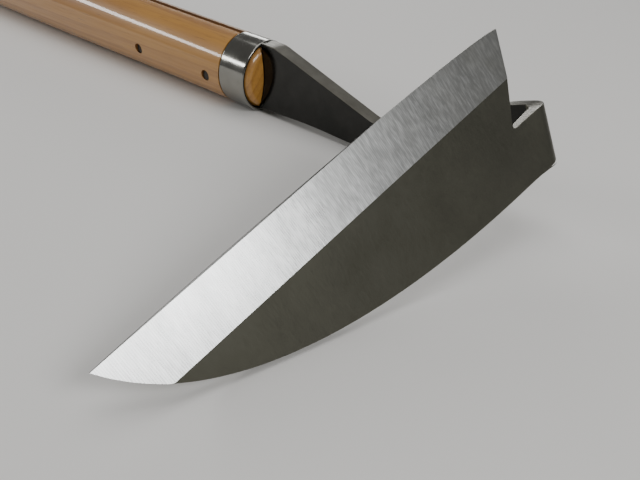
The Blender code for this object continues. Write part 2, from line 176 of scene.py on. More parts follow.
def turned(name, profile, flatness=1.0, steps=TURNED_STEPS):
    """A turned shape about X from (x, radius) pairs; flatness is its width over its height."""
    mesh = bpy.data.meshes.new(name)
    bm = bmesh.new()
    verts = [bm.verts.new((radius, 0.0, x)) for x, radius in profile]
    for first, second in zip(verts, verts[1:]):
        bm.edges.new((first, second))
    if profile[0][1] > 0.0:
        bm.edges.new((verts[-1], verts[0]))
    bm.to_mesh(mesh)
    bm.free()
    obj = bpy.data.objects.new(name, mesh)
    WORKSHOP.objects.link(obj)
    screw = obj.modifiers.new("lathe", "SCREW")
    screw.axis = "Z"
    screw.steps = steps
    screw.render_steps = steps
    screw.use_merge_vertices = True
    screw.merge_threshold = WELD
    lay_along_x = Matrix.Rotation(pi / 2, 4, "Y")
    return bake(obj, Matrix.Diagonal((1.0, flatness, 1.0, 1.0)) @ lay_along_x)


def quarter(centre, radius, start, end, points=5):
    """Points on an arc, from one angle to another, both ends in."""
    turns = [start + (end - start) * i / (points - 1) for i in range(points)]
    return [(centre[0] + radius * cos(a), centre[1] + radius * sin(a)) for a in turns]


def bezier(start, pull_a, pull_b, end, points=40):
    """Points of one cubic curve, its end left out so that stretches can be chained."""
    ends = [Vector((*p, 0.0)) for p in (start, pull_a, pull_b, end)]
    return [p.to_2d() for p in interpolate_bezier(*ends, points)][:-1]


# %% [markdown]
# Flat stock is cut to an outline. A filled 2D curve with an extrusion gives the plate and its
# bevel depth rounds the rims, so the light catches a thin line along every edge, as it does
# on filed steel.

# %% Plates and cutters
HOLE_POINTS = 41


def plate(name, outline, thickness, rim=0.0, holes=()):
    """A plate in the plane Y = 0 from an outline of (x, z) points, with round holes."""
    curve = bpy.data.curves.new(name, "CURVE")
    curve.dimensions = "2D"
    curve.fill_mode = "BOTH"
    curve.extrude = thickness / 2 - rim
    curve.bevel_depth = rim
    curve.bevel_resolution = 2
    curve.offset = -rim
    rings = [outline] + [quarter(at, radius, 0.0, 2 * pi, HOLE_POINTS)[:-1] for at, radius in holes]
    for ring in rings:
        spline = curve.splines.new("POLY")
        spline.points.add(len(ring) - 1)
        for point, place in zip(spline.points, ring):
            point.co = (place[0], place[1], 0.0, 1.0)
        spline.use_cyclic_u = True
    obj = bpy.data.objects.new(name, curve)
    WORKSHOP.objects.link(obj)
    return bake(obj, Matrix.Rotation(pi / 2, 4, "X"))


def block(name, low, high, mat):
    """A cutting block between two corners; the faces it leaves take its material."""
    low, high = Vector(low), Vector(high)
    mesh = bpy.data.meshes.new(name)
    bm = bmesh.new()
    bmesh.ops.create_cube(bm, size=1.0)
    bm.transform(Matrix.Translation((low + high) / 2) @ Matrix.Diagonal((*(high - low), 1.0)))
    bm.to_mesh(mesh)
    bm.free()
    mesh.materials.append(mat)
    obj = bpy.data.objects.new(name, mesh)
    WORKSHOP.objects.link(obj)
    return obj


def combine(obj, tool, operation):
    """Cut a tool out of a piece, or join it on; the tool is used up."""
    mod = obj.modifiers.new("combine", "BOOLEAN")
    mod.operation = operation
    mod.solver = "EXACT"
    mod.material_mode = "TRANSFER"
    mod.object = tool
    result = bake(obj)
    bpy.data.objects.remove(tool, do_unlink=True)
    return result


# %% [markdown]
# ## Finishes
# A finish is a small graph of shader nodes. Each one below starts from the same helper: a
# plain Principled shader whose fixed values sit on its own sockets, and a few named nodes
# that vary the colour, the roughness and the height where the real surface varies.

# %% Shader helpers
def finish(name, color, metallic, roughness, **fixed):
    """A new material; fixed holds further values for the shader's own sockets."""
    mat = bpy.data.materials.new(name)
    mat.use_nodes = True
    shader = mat.node_tree.nodes["Principled BSDF"]
    shader.inputs["Base Color"].default_value = (*color, 1.0)
    shader.inputs["Metallic"].default_value = metallic
    shader.inputs["Roughness"].default_value = roughness
    for socket, value in fixed.items():
        shader.inputs[socket.replace("_", " ")].default_value = value
    return mat


def add(mat, kind, **settings):
    """A new node in a material; settings are its own properties."""
    node = mat.node_tree.nodes.new(kind)
    for key, value in settings.items():
        setattr(node, key, value)
    return node


def join(mat, source, target):
    """Link an output to an input."""
    mat.node_tree.links.new(source, target)


def shader_of(mat):
    """The material's Principled shader."""
    return mat.node_tree.nodes["Principled BSDF"]


def stretched(mat, place, stretch, turn=(0.0, 0.0, 0.0)):
    """Coordinates scaled per axis, so that a pattern runs along or across the piece."""
    mapping = add(mat, "ShaderNodeMapping")
    mapping.inputs["Scale"].default_value = stretch
    mapping.inputs["Rotation"].default_value = turn
    join(mat, place, mapping.inputs["Vector"])
    return mapping.outputs["Vector"]


def noise(mat, place, scale, detail=4.0, rough=0.55):
    """A noise pattern, 0 to 1."""
    node = add(mat, "ShaderNodeTexNoise")
    node.inputs["Scale"].default_value = scale
    node.inputs["Detail"].default_value = detail
    node.inputs["Roughness"].default_value = rough
    node.inputs["Distortion"].default_value = 0.0
    join(mat, place, node.inputs["Vector"])
    return node.outputs["Fac"]


def spread(mat, value, low, high, to_low, to_high):
    """Map one range of values to another."""
    node = add(mat, "ShaderNodeMapRange")
    for socket, number in zip(("From Min", "From Max", "To Min", "To Max"),
                              (low, high, to_low, to_high)):
        node.inputs[socket].default_value = number
    join(mat, value, node.inputs["Value"])
    return node.outputs["Result"]


def tint(mat, share, first, second):
    """A colour between two, by share."""
    node = add(mat, "ShaderNodeMix", data_type="RGBA")
    node.inputs["A"].default_value = (*first, 1.0)
    node.inputs["B"].default_value = (*second, 1.0)
    join(mat, share, node.inputs["Factor"])
    return node.outputs["Result"]


def blend_colors(mat, share, first, second):
    """A mix of two colour outputs."""
    node = add(mat, "ShaderNodeMix", data_type="RGBA")
    join(mat, share, node.inputs["Factor"])
    join(mat, first, node.inputs["A"])
    join(mat, second, node.inputs["B"])
    return node.outputs["Result"]


def maths(mat, operation, first, second):
    """One operation on two values, either of which may be a number."""
    node = add(mat, "ShaderNodeMath", operation=operation)
    for socket, value in zip(node.inputs, (first, second)):
        if isinstance(value, (int, float)):
            socket.default_value = value
        else:
            join(mat, value, socket)
    return node.outputs["Value"]


def relief(mat, heights, distance, strength):
    """Bump from a height pattern, distance metres deep."""
    node = add(mat, "ShaderNodeBump")
    node.inputs["Distance"].default_value = distance
    node.inputs["Strength"].default_value = strength
    join(mat, heights, node.inputs["Height"])
    join(mat, node.outputs["Normal"], shader_of(mat).inputs["Normal"])


# %% [markdown]
# ### Satin blade flat
# The broad face between the bevel and the spine is rolled steel with a fine, even satin. It
# is darker than the bevel because the smith leaves its thin grey oxide on. The pattern is read
# from "drawn", an attribute that holds each point's place along the cutting edge and behind
# it, in metres, as laid out before the fold, so it follows the plate round the bend.

# %% Satin blade flat
def drawn(mat):
    """Where a point lies on the flat drawing of the blade: along the edge, and behind it."""
    return add(mat, "ShaderNodeAttribute", attribute_name="drawn").outputs["Vector"]


def satin_flat():
    mat = finish("satin_flat", (0.120, 0.117, 0.098), 1.0, 0.40)
    place = drawn(mat)
    clouds = noise(mat, place, 55.0, detail=3.0)
    color = tint(mat, spread(mat, clouds, 0.30, 0.75, 0.0, 1.0),
                 (0.118, 0.116, 0.092), (0.136, 0.134, 0.108))
    join(mat, color, shader_of(mat).inputs["Base Color"])
    lines = noise(mat, stretched(mat, place, (1.0, 0.10, 1.0)), 4200.0, detail=3.0)
    rough = maths(mat, "ADD", spread(mat, lines, 0.3, 0.7, 0.36, 0.44),
                  spread(mat, clouds, 0.3, 0.7, -0.01, 0.015))
    join(mat, rough, shader_of(mat).inputs["Roughness"])
    relief(mat, lines, 0.0000015, 0.6)
    return mat


SATIN_FLAT = satin_flat()
print("made", SATIN_FLAT.name)

# %% [markdown]
# ### Ground bevel
# The bevel is ground across on a wheel, so it is bright and full of fine lines square to the
# cutting edge. Towards the heel its colour is painted duller and darker in soft clouds: painted
# shade where the bevel mirrors less light, over a cloudy tone. A stretched noise and a pattern of
# bands give the lines, a broad noise makes the tone drift along the edge, and a soft noise gives
# the clouds.

# %% Ground bevel
PATTERN_TURN = radians(-6.0)     # turns the noise, so that it doesn't sit on its own lattice
LINE_STRETCH = 0.012             # the lines are this much finer across than they are long
# Painted shade: the duller, darker heel tone reaches this far from the heel.
HEEL_SHADE_REACH = 0.092              # the clouds fade out this far from the heel


def ground_bevel():
    mat = finish("ground_bevel", (0.70, 0.70, 0.69), 1.0, 0.30)
    place = drawn(mat)
    split = add(mat, "ShaderNodeSeparateXYZ")
    join(mat, place, split.inputs["Vector"])
    heel_shade_share = spread(mat, split.outputs["X"], 0.0, HEEL_SHADE_REACH, 1.0, 0.0)
    across = stretched(mat, place, (1.0, LINE_STRETCH, 1.0), (0.0, 0.0, PATTERN_TURN))
    fine = noise(mat, across, 1700.0, detail=2.0, rough=0.5)
    ridges = add(mat, "ShaderNodeTexWave", wave_type="BANDS", bands_direction="X")
    for socket, value in (("Scale", 560.0), ("Distortion", 1.0), ("Detail", 2.0),
                          ("Detail Scale", 2.4), ("Detail Roughness", 0.6)):
        ridges.inputs[socket].default_value = value
    join(mat, across, ridges.inputs["Vector"])
    sweep = noise(mat, stretched(mat, place, (1.0, 0.30, 1.0), (0.0, 0.0, PATTERN_TURN)),
                  120.0, detail=3.0)
    clouds = noise(mat, place, 110.0, detail=2.0, rough=0.5)
    ridge_share = spread(mat, split.outputs["X"], 0.02, 0.13, 0.06, 0.30)
    scratched = maths(mat, "ADD", maths(mat, "MULTIPLY", fine, 0.72),
                      maths(mat, "MULTIPLY", ridges.outputs["Fac"], ridge_share))
    tone = maths(mat, "ADD", spread(mat, scratched, 0.30, 0.74, 0.0, 0.75),
                 spread(mat, sweep, 0.35, 0.65, 0.0, 0.25))
    bright = tint(mat, tone, (0.40, 0.408, 0.406), (0.80, 0.812, 0.81))
    # Painted shade: towards the heel the bevel's colour goes to this duller, darker tone in soft
    # clouds.
    painted_heel_shade = tint(mat, tone, (0.29, 0.292, 0.274), (0.37, 0.372, 0.350))
    heel_shade_clouds = maths(mat, "MULTIPLY", spread(mat, clouds, 0.30, 0.66, 0.45, 1.0), heel_shade_share)
    join(mat, blend_colors(mat, heel_shade_clouds, bright, painted_heel_shade), shader_of(mat).inputs["Base Color"])
    rough = maths(mat, "ADD", spread(mat, scratched, 0.35, 0.65, 0.27, 0.33),
                  maths(mat, "MULTIPLY", heel_shade_clouds, 0.06))
    join(mat, rough, shader_of(mat).inputs["Roughness"])
    relief(mat, scratched, 0.0000022, 1.0)
    return mat


GROUND_BEVEL = ground_bevel()
print("made", GROUND_BEVEL.name)

# %% [markdown]
# ### Honed edge, filed rims and polished neck
# The last strokes on the stone leave a narrow strip along the edge that is darker and finer
# than the bevel. The rims and the neck's narrow top are filed, so they show short marks along
# their length. The neck's tall sides keep a dark, hard polish.

# %% Honed edge, filed rims and polished neck
def honed_edge():
    mat = finish("honed_edge", (0.065, 0.065, 0.062), 1.0, 0.26)
    lines = noise(mat, stretched(mat, drawn(mat), (0.08, 1.0, 1.0)), 6000.0, detail=2.0)
    join(mat, tint(mat, lines, (0.045, 0.045, 0.044), (0.085, 0.085, 0.082)),
         shader_of(mat).inputs["Base Color"])
    relief(mat, lines, 0.000002, 0.5)
    return mat


def filed_rim():
    mat = finish("filed_rim", (0.155, 0.148, 0.126), 1.0, 0.42)
    place = add(mat, "ShaderNodeTexCoord").outputs["Object"]
    marks = noise(mat, stretched(mat, place, (0.12, 1.0, 1.0)), 2600.0, detail=3.0)
    patches = noise(mat, place, 110.0, detail=4.0)
    color = tint(mat, spread(mat, patches, 0.35, 0.65, 0.0, 1.0),
                 (0.125, 0.119, 0.100), (0.185, 0.178, 0.154))
    join(mat, color, shader_of(mat).inputs["Base Color"])
    join(mat, spread(mat, marks, 0.3, 0.7, 0.28, 0.46), shader_of(mat).inputs["Roughness"])
    relief(mat, marks, 0.0000025, 0.5)
    return mat


def polished_neck():
    mat = finish("polished_neck", (0.045, 0.045, 0.043), 1.0, 0.12)
    place = add(mat, "ShaderNodeTexCoord").outputs["Object"]
    haze = noise(mat, place, 60.0, detail=5.0, rough=0.6)
    marks = noise(mat, stretched(mat, place, (0.05, 1.0, 1.0)), 1800.0, detail=3.0)
    join(mat, tint(mat, spread(mat, haze, 0.35, 0.7, 0.0, 1.0),
                   (0.036, 0.036, 0.034), (0.054, 0.053, 0.050)),
         shader_of(mat).inputs["Base Color"])
    rough = maths(mat, "ADD", spread(mat, haze, 0.3, 0.7, 0.08, 0.13),
                  spread(mat, marks, 0.3, 0.7, 0.0, 0.04))
    join(mat, rough, shader_of(mat).inputs["Roughness"])
    relief(mat, marks, 0.0000012, 0.5)
    return mat


HONED_EDGE = honed_edge()
FILED_RIM = filed_rim()
POLISHED_NECK = polished_neck()
print("made", HONED_EDGE.name, FILED_RIM.name, POLISHED_NECK.name)

# %% [markdown]
# ### Lacquered wood
# The handle is a light hardwood under clear lacquer. A real board is a stack of growth
# rings, so the colour comes from rings about an axis beside the handle: along the sides they
# show as long streaks, and on the nose as arcs, with no seam between the two. Short dark
# pores and a slow drift of tone keep it from looking printed. The lacquer is the shader's
# coat, smooth over the softer wood below.

# %% Lacquered wood
RING_AXIS = (0.0, 0.062, -0.040)
RING_SCALE = 95.0


def wood_grain(mat, light, dark):
    """Colour of wood with its rings about an axis beside the handle, and its pores."""
    place = add(mat, "ShaderNodeTexCoord").outputs["Object"]
    shifted = add(mat, "ShaderNodeVectorMath", operation="SUBTRACT")
    shifted.inputs[1].default_value = LIE @ Vector(RING_AXIS)
    join(mat, place, shifted.inputs[0])
    lengthwise = stretched(mat, shifted.outputs["Vector"], (0.06, 1.0, 1.0))
    rings = add(mat, "ShaderNodeTexWave", wave_type="RINGS", rings_direction="X",
                wave_profile="SAW")
    for socket, value in (("Scale", RING_SCALE), ("Distortion", 1.6), ("Detail", 3.0),
                          ("Detail Scale", 1.4), ("Detail Roughness", 0.6)):
        rings.inputs[socket].default_value = value
    join(mat, lengthwise, rings.inputs["Vector"])
    fibres = noise(mat, stretched(mat, place, (0.03, 1.0, 1.0)), 900.0, detail=4.0, rough=0.6)
    drift = noise(mat, stretched(mat, place, (0.25, 1.0, 1.0)), 45.0, detail=3.0)
    late = maths(mat, "MULTIPLY", spread(mat, rings.outputs["Fac"], 0.45, 1.0, 0.0, 1.0), 0.55)
    share = maths(mat, "ADD", late, spread(mat, fibres, 0.35, 0.70, -0.10, 0.32))
    share = maths(mat, "ADD", share, spread(mat, drift, 0.30, 0.70, -0.12, 0.25))
    grain = tint(mat, share, light, dark)
    pores = noise(mat, stretched(mat, place, (0.035, 1.0, 1.0)), 2300.0, detail=2.0, rough=0.4)
    pore = spread(mat, pores, 0.66, 0.74, 0.0, 0.55)
    dark_pore = add(mat, "ShaderNodeRGB")
    dark_pore.outputs[0].default_value = (*(c * 0.45 for c in dark), 1.0)
    color = blend_colors(mat, pore, grain, dark_pore.outputs[0])
    return color, fibres, pore


def lacquered_wood():
    mat = finish("lacquered_wood", (0.62, 0.34, 0.11), 0.0, 0.42,
                 Coat_Weight=1.0, Coat_Roughness=0.07, Coat_IOR=1.5)
    color, fibres, pore = wood_grain(mat, (0.46, 0.225, 0.042), (0.29, 0.118, 0.018))
    join(mat, color, shader_of(mat).inputs["Base Color"])
    join(mat, spread(mat, fibres, 0.3, 0.7, 0.36, 0.52), shader_of(mat).inputs["Roughness"])
    relief(mat, maths(mat, "SUBTRACT", fibres, pore), 0.000012, 0.35)
    return mat


# Bare sawn wood for the kerf, the notch and the pin holes; its darker colour is also painted shade
# inside these cuts.
def bare_wood_and_shade():
    mat = finish("bare_wood_and_shade", (0.20, 0.085, 0.025), 0.0, 0.75)
    color, fibres, _ = wood_grain(mat, (0.30, 0.130, 0.030), (0.15, 0.056, 0.013))
    join(mat, color, shader_of(mat).inputs["Base Color"])
    relief(mat, fibres, 0.00006, 0.8)
    return mat


LACQUERED_WOOD = lacquered_wood()
BARE_WOOD_AND_SHADE = bare_wood_and_shade()
print("made", LACQUERED_WOOD.name, BARE_WOOD_AND_SHADE.name)

# %% [markdown]
# ### Polished ring and dark pins
# The ferrule is polished on a wheel while it spins, so its faint lines run round it. The
# pins are coloured a near-black steel.

# %% Polished ring and dark pins
def polished_ring():
    mat = finish("polished_ring", (0.27, 0.265, 0.24), 1.0, 0.13)
    place = add(mat, "ShaderNodeTexCoord").outputs["Object"]
    lines = noise(mat, stretched(mat, place, (1.0, 0.012, 0.012)), 5200.0, detail=3.0)
    haze = noise(mat, place, 160.0, detail=4.0)
    join(mat, tint(mat, haze, (0.22, 0.217, 0.195), (0.34, 0.335, 0.31)),
         shader_of(mat).inputs["Base Color"])
    rough = maths(mat, "ADD", spread(mat, lines, 0.3, 0.7, 0.08, 0.17),
                  spread(mat, haze, 0.3, 0.7, -0.01, 0.05))
    join(mat, rough, shader_of(mat).inputs["Roughness"])
    relief(mat, lines, 0.000002, 0.5)
    return mat


def dark_pin():
    mat = finish("dark_pin", (0.05, 0.048, 0.045), 0.9, 0.45)
    place = add(mat, "ShaderNodeTexCoord").outputs["Object"]
    specks = noise(mat, place, 900.0, detail=4.0)
    join(mat, tint(mat, specks, (0.020, 0.019, 0.018), (0.10, 0.09, 0.08)),
         shader_of(mat).inputs["Base Color"])
    join(mat, spread(mat, specks, 0.3, 0.7, 0.35, 0.6), shader_of(mat).inputs["Roughness"])
    relief(mat, specks, 0.00003, 0.5)
    return mat


POLISHED_RING = polished_ring()
DARK_PIN = dark_pin()
print("made", POLISHED_RING.name, DARK_PIN.name)

# %% [markdown]
# ## Ferrule
# The ring is a short tube with softly broken rims. Its half profile is a closed loop, so the
# lathe makes a ring and not a cup.

# %% Ferrule
FLATNESS = 0.925
HANDLE_RADIUS = 0.01475
FERRULE_WALL = 0.0012
FERRULE_ROUND = 0.0005
BORE_RADIUS = HANDLE_RADIUS - FERRULE_WALL


def make_ferrule():
    r = FERRULE_ROUND
    outer, front, back = HANDLE_RADIUS, 0.0, -FERRULE_LENGTH
    profile = quarter((front - r, outer - r), r, 0.0, pi / 2)
    profile += quarter((back + r, outer - r), r, pi / 2, pi)
    profile += [(back, BORE_RADIUS)]
    profile += quarter((front - r / 2, BORE_RADIUS + r / 2), r / 2, -pi / 2, 0.0)
    return turned("ferrule_ring", profile, FLATNESS)


ferrule = make_ferrule()
print("ferrule faces:", len(ferrule.data.polygons))

# %% [markdown]
# ## Handle
# One profile turns the whole handle: a low dome of end grain that stands out of the ring, a
# seat for the ring, a straight neck and a grip that swells gently towards the butt. The kerf
# is one saw cut from the nose, as wide as the tang and a hair more, and the neck's shoulder
# needs a wider notch in the dome.

# %% Handle
SLIP_GAP = 0.0003
PIN_GAP = 0.0002
GRIP_RADIUS = 0.0160
GRIP_CENTRE = -0.175
BUTT_X = -0.228
BUTT_RADIUS = 0.0100
NOSE_DOME = 0.0026
NOSE_RADIUS = 0.0095
TANG_THICKNESS = 0.0020
KERF_END_X = -0.090
NECK_THICKNESS = 0.0074
PIN_DIAMETER = 0.0042
PIN_RECESS = 0.0010
PIN_Z = -0.0030
FRONT_PIN_X = -0.0225
REAR_PIN_X = -0.0662
SWELL_START = 0.45           # the grip starts to swell at this share of its centre's distance
SWELL_END = 0.70             # and has swollen fully by this share
TAIL_PULL = 0.030            # how long the grip stays full behind its centre
BUTT_FULLNESS = 1.05         # fullness of the rounding into the butt, over the grip's radius
CROWN_STEPS = 6
CORNER_STEPS = 8
HOLE_REACH = 0.04            # half length of the drill, well past both sides
HOLE_STEPS = 40


def handle_profile():
    """Half profile of the handle, from the nose back to the middle of the butt."""
    seat = BORE_RADIUS - SLIP_GAP
    shoulder_x = -FERRULE_LENGTH - SLIP_GAP
    corner = seat - NOSE_RADIUS
    crown = [(NOSE_DOME * (1 - (i / CROWN_STEPS * NOSE_RADIUS / seat) ** 2),
              i / CROWN_STEPS * NOSE_RADIUS) for i in range(CROWN_STEPS + 1)]
    x = crown[-1][0]
    rounding = [(x - corner * (1 - cos(a)), NOSE_RADIUS + corner * sin(a))
                for a in [pi / 2 / CORNER_STEPS * i for i in range(1, CORNER_STEPS + 1)]]
    body = bezier((shoulder_x, HANDLE_RADIUS), (GRIP_CENTRE * SWELL_START, HANDLE_RADIUS),
                  (GRIP_CENTRE * SWELL_END, GRIP_RADIUS), (GRIP_CENTRE, GRIP_RADIUS))
    tail = bezier((GRIP_CENTRE, GRIP_RADIUS), (GRIP_CENTRE - TAIL_PULL, GRIP_RADIUS),
                  (BUTT_X, GRIP_RADIUS * BUTT_FULLNESS), (BUTT_X, BUTT_RADIUS), 30)
    profile = crown + rounding + [(shoulder_x, seat)] + [tuple(p) for p in body + tail]
    return profile + [(BUTT_X, BUTT_RADIUS), (BUTT_X, 0.0)]


def pin_hole(x):
    """A drill for one pin's hole; the bare wood it leaves takes a darker colour that is partly
    painted shade.
    """
    radius = PIN_DIAMETER / 2 + PIN_GAP
    hole = turned("drill", [(-HOLE_REACH, 0.0), (-HOLE_REACH, radius), (HOLE_REACH, radius),
                            (HOLE_REACH, 0.0)], 1.0, HOLE_STEPS)
    hole.data.transform(Matrix.Translation((x, 0.0, PIN_Z)) @ Matrix.Rotation(pi / 2, 4, "Z"))
    hole.data.materials.append(BARE_WOOD_AND_SHADE)
    return hole


def make_handle():
    handle = turned("wooden_handle", handle_profile(), FLATNESS)
    handle.data.materials.append(LACQUERED_WOOD)
    reach = GRIP_RADIUS * 2
    kerf = TANG_THICKNESS / 2 + SLIP_GAP
    notch = NECK_THICKNESS / 2 + SLIP_GAP
    # The cut faces take the darker bare wood, which is partly painted shade.
    saw = block("kerf", (KERF_END_X, -kerf, -reach), (reach, kerf, reach), BARE_WOOD_AND_SHADE)
    handle = combine(handle, saw, "DIFFERENCE")
    chisel = block("notch", (0.0, -notch, -reach), (reach, notch, reach), BARE_WOOD_AND_SHADE)
    handle = combine(handle, chisel, "DIFFERENCE")
    for x in (FRONT_PIN_X, REAR_PIN_X):
        handle = combine(handle, pin_hole(x), "DIFFERENCE")
    return handle


handle = make_handle()
print("handle faces:", len(handle.data.polygons), "finishes:", len(handle.data.materials))

# %% [markdown]
# ## Pins
# Each pin is a length of rod through wood and tang, its ends peened to a slight dome that
# sits below the wood.

# %% Pins
PEEN = 0.0004
PIN_STEPS = 48


def make_pin(name, x):
    half = HANDLE_RADIUS * FLATNESS - PIN_RECESS
    r = PIN_DIAMETER / 2
    right = [(half - PEEN * (1 - cos(a)), r - PEEN + PEEN * sin(a))
             for a in [pi / 8 * i for i in range(5)]]
    left = [(-along, radius) for along, radius in reversed(right)]
    pin = turned(name, [(half, 0.0)] + right + left + [(-half, 0.0)], 1.0, PIN_STEPS)
    pin.data.transform(Matrix.Translation((x, 0.0, PIN_Z)) @ Matrix.Rotation(pi / 2, 4, "Z"))
    return pin


front_pin = make_pin("front_cross_pin", FRONT_PIN_X)
rear_pin = make_pin("rear_cross_pin", REAR_PIN_X)
print("pin faces:", len(front_pin.data.polygons))

# %% [markdown]
# ## Forging: the drawing
# The neck and the blade are laid out flat, on one drawing, as the smith lays them out on
# stock. Left of the fold line the drawing is the neck. Right of it, u runs along the blade
# and v runs up the fold line. Because the fold is a bend with a radius, the stock needs a
# little less length than the sharp corner would, and that slack is taken out of u.

# %% The fold line and the blade's own axes
FOLD_THICKNESS = 0.0050
FOLD_TOP = Vector((0.1183, 0.0240))
FOLD_HEIGHT = 0.0156
FOLD_CREST = 0.0022
FOLD_LEAN = radians(27.0)
FOLD_TURN = radians(99.9)
FOLD_INNER_RADIUS = 0.0010
ALONG = Vector((cos(FOLD_LEAN), sin(FOLD_LEAN)))
UP = Vector((-sin(FOLD_LEAN), cos(FOLD_LEAN)))
ACROSS = Vector((0.0, 1.0, 0.0))
FOLD_RADIUS = FOLD_INNER_RADIUS + FOLD_THICKNESS / 2
FOLD_ARC = FOLD_RADIUS * FOLD_TURN
FOLD_TANGENT = FOLD_RADIUS * tan(FOLD_TURN / 2)
HEEL_CORNER = Vector((0.0118, 0.0272))
EDGE_SLOPE = radians(-14.9)
EDGE_ALONG = Vector((cos(EDGE_SLOPE), sin(EDGE_SLOPE)))
EDGE_INTO = Vector((sin(EDGE_SLOPE), -cos(EDGE_SLOPE)))


def flat(u, v):
    """Where a point of the blade, (u, v), lies on the drawing."""
    slack = 2 * FOLD_TANGENT - FOLD_ARC
    return FOLD_TOP + ALONG * (u - slack) + UP * v


def on_fold(v):
    """A point on the fold line."""
    return FOLD_TOP + UP * v


def from_edge(along, into):
    """A blade point (u, v) from its place along the edge's line and its depth behind it."""
    return HEEL_CORNER + EDGE_ALONG * along + EDGE_INTO * into


print("steel used up by the bend, mm:", round(FOLD_ARC * 1000, 2))

# %% [markdown]
# The outline is a chain of curves. The neck's lower edge sags to a belly and rises to the
# fold. The spine sweeps in one long arc to the point. The cutting edge bows out a little from
# a straight line, the heel is cut back to a notch that clears the tab, and the neck's top
# edge drops straight from the shoulder and curls up to the fold.

# %% The outline
SHOULDER_TOP = 0.0143
SHOULDER_BOTTOM = -0.0130
SHOULDER_LENGTH = 0.0070
BROW_DROP = 0.0050           # rounding of the top edge's brow, down the drop
BROW_LEVEL = 0.0040          # and back along the level
THROAT_PULL = Vector((0.0120, 0.0006))   # how the bottom edge leaves the ferrule
THROAT = Vector((0.0300, -0.0112))       # its bow before the belly
DROP_END = Vector((0.0550, -0.0002))
DROP_PULL = 0.0180
BELLY = Vector((0.0480, -0.0123))
BELLY_LEAD = 0.0100          # how long the bottom edge is level before its belly
BELLY_PULL = 0.0280
FOLD_PULL = Vector((0.0260, 0.0045))
FOLD_PULL_LOW = 0.0320
EDGE_LENGTH = 0.1492
POINT_RISE = 0.0002
BLADE_WIDTH = 0.0450
HEEL_KINK = Vector((0.0150, 0.0120))
NOTCH = Vector((0.0172, -0.0021))
NOTCH_SIDE = Vector((-0.0001, 0.0022))   # from the notch's corner up its side
NOTCH_FLOOR = Vector((-0.0020, 0.0001))  # and along its floor
TAB_TOP_U = 0.0060           # where the tab's top edge meets the fold
TAB_TOP = 0.0005
TAB_BOTTOM = -0.0184
TAB_ROUND = 0.0030
SPINE_START_U = 0.0080
SPINE_STEP = 0.0004
SPINE_LEAD = 0.0085          # where that step is, past the spine's start
SPINE_FULL = 0.60            # the spine runs nearly level up to this share of the edge
SPINE_SINK = 0.0019          # how far it has sunk there
SPINE_SWEEP = (0.90, 0.55)   # its sweep to the point: shares of edge length and blade width
BOW_TIP = (0.65, 1.15)       # the bow at the tip's side: shares of edge length and bulge
BOW_HEEL = (0.012, 1.37)     # at the heel's side: distance along the edge, share of bulge
EDGE_BULGE = 0.0018


def under_edge():
    """The neck's lower edge and the rounded corner under the fold."""
    start = Vector((SLIP_GAP, SHOULDER_BOTTOM))
    fold_low = on_fold(-FOLD_HEIGHT) - ALONG * FOLD_TANGENT
    tab_end = flat(SPINE_START_U, TAB_BOTTOM)
    points = [start]
    points += bezier(start + THROAT_PULL, THROAT, BELLY - Vector((BELLY_LEAD, 0.0)), BELLY, 16)
    points += bezier(BELLY, BELLY + Vector((BELLY_PULL, 0.0)),
                     fold_low - ALONG * FOLD_PULL_LOW, fold_low)
    points += bezier(fold_low, fold_low + ALONG * TAB_ROUND,
                     tab_end - ALONG * (SPINE_START_U - TAB_ROUND), tab_end, 9)
    return points + [tab_end]


def blade_edges():
    """The spine, the point, the cutting edge, the heel and the notch, in (u, v)."""
    point = from_edge(EDGE_LENGTH, -POINT_RISE)
    spine_foot = from_edge(SPINE_START_U - HEEL_CORNER.x + SPINE_LEAD, BLADE_WIDTH + SPINE_STEP)
    spine = bezier(spine_foot, from_edge(EDGE_LENGTH * SPINE_FULL, BLADE_WIDTH - SPINE_SINK),
                   from_edge(EDGE_LENGTH * SPINE_SWEEP[0], BLADE_WIDTH * SPINE_SWEEP[1]),
                   point, 90)
    edge = bezier(point, from_edge(EDGE_LENGTH * BOW_TIP[0], -EDGE_BULGE * BOW_TIP[1]),
                  from_edge(BOW_HEEL[0], -EDGE_BULGE * BOW_HEEL[1]), from_edge(0.0, 0.0), 80)
    notch = bezier(NOTCH + NOTCH_SIDE, NOTCH, NOTCH, NOTCH + NOTCH_FLOOR, 8)
    return spine + edge + [HEEL_CORNER, HEEL_KINK] + notch + [Vector((TAB_TOP_U, TAB_TOP))]


def top_edge():
    """The neck's top edge, from the fold back to the shoulder."""
    fold_high = on_fold(FOLD_CREST) - ALONG * FOLD_TANGENT
    brow = Vector((SHOULDER_LENGTH, SHOULDER_TOP))
    drop = (brow - DROP_END).normalized()
    points = bezier(fold_high, fold_high - ALONG * FOLD_PULL.x + UP * FOLD_PULL.y,
                    DROP_END - drop * DROP_PULL, DROP_END)
    points += [DROP_END]
    points += bezier(brow - drop * BROW_DROP, brow, brow, brow - Vector((BROW_LEVEL, 0.0)), 12)
    return points + [Vector((SLIP_GAP, SHOULDER_TOP))]


outline = under_edge() + [flat(*point) for point in blade_edges()] + top_edge()
print("outline points:", len(outline))

# %% [markdown]
# ## Forging: stock, taper and grinding
# The plate is cut thick, then tapers from the ferrule to the fold and is thinner still in the
# blade. Edges are cut across the bend first, because a flat face can't bend without them.
# Grinding is a cutting block laid at the bevel's slope, and the faces that it leaves take the
# bevel's finish. A second, steeper block leaves the honed strip, which fades in along the
# edge.

# %% Stock and taper
RIM_ROUND = 0.0003
FOLD_CUTS = 20
TAB_TAPER = 0.0130
TAB_CUTS = 13
BLADE_THICKNESS = 0.0032
SLIVER = 0.00003             # slivers narrower than this are closed up
SNAP = 0.000001              # a cut this close to a point goes through it
RIM_LEAN = 0.97              # a face leaning more than this share from the side is a rim


def past_bend_start(co):
    """How far a point lies beyond the line where the bend starts."""
    return (Vector((co.x, co.z)) - FOLD_TOP).dot(ALONG) + FOLD_TANGENT


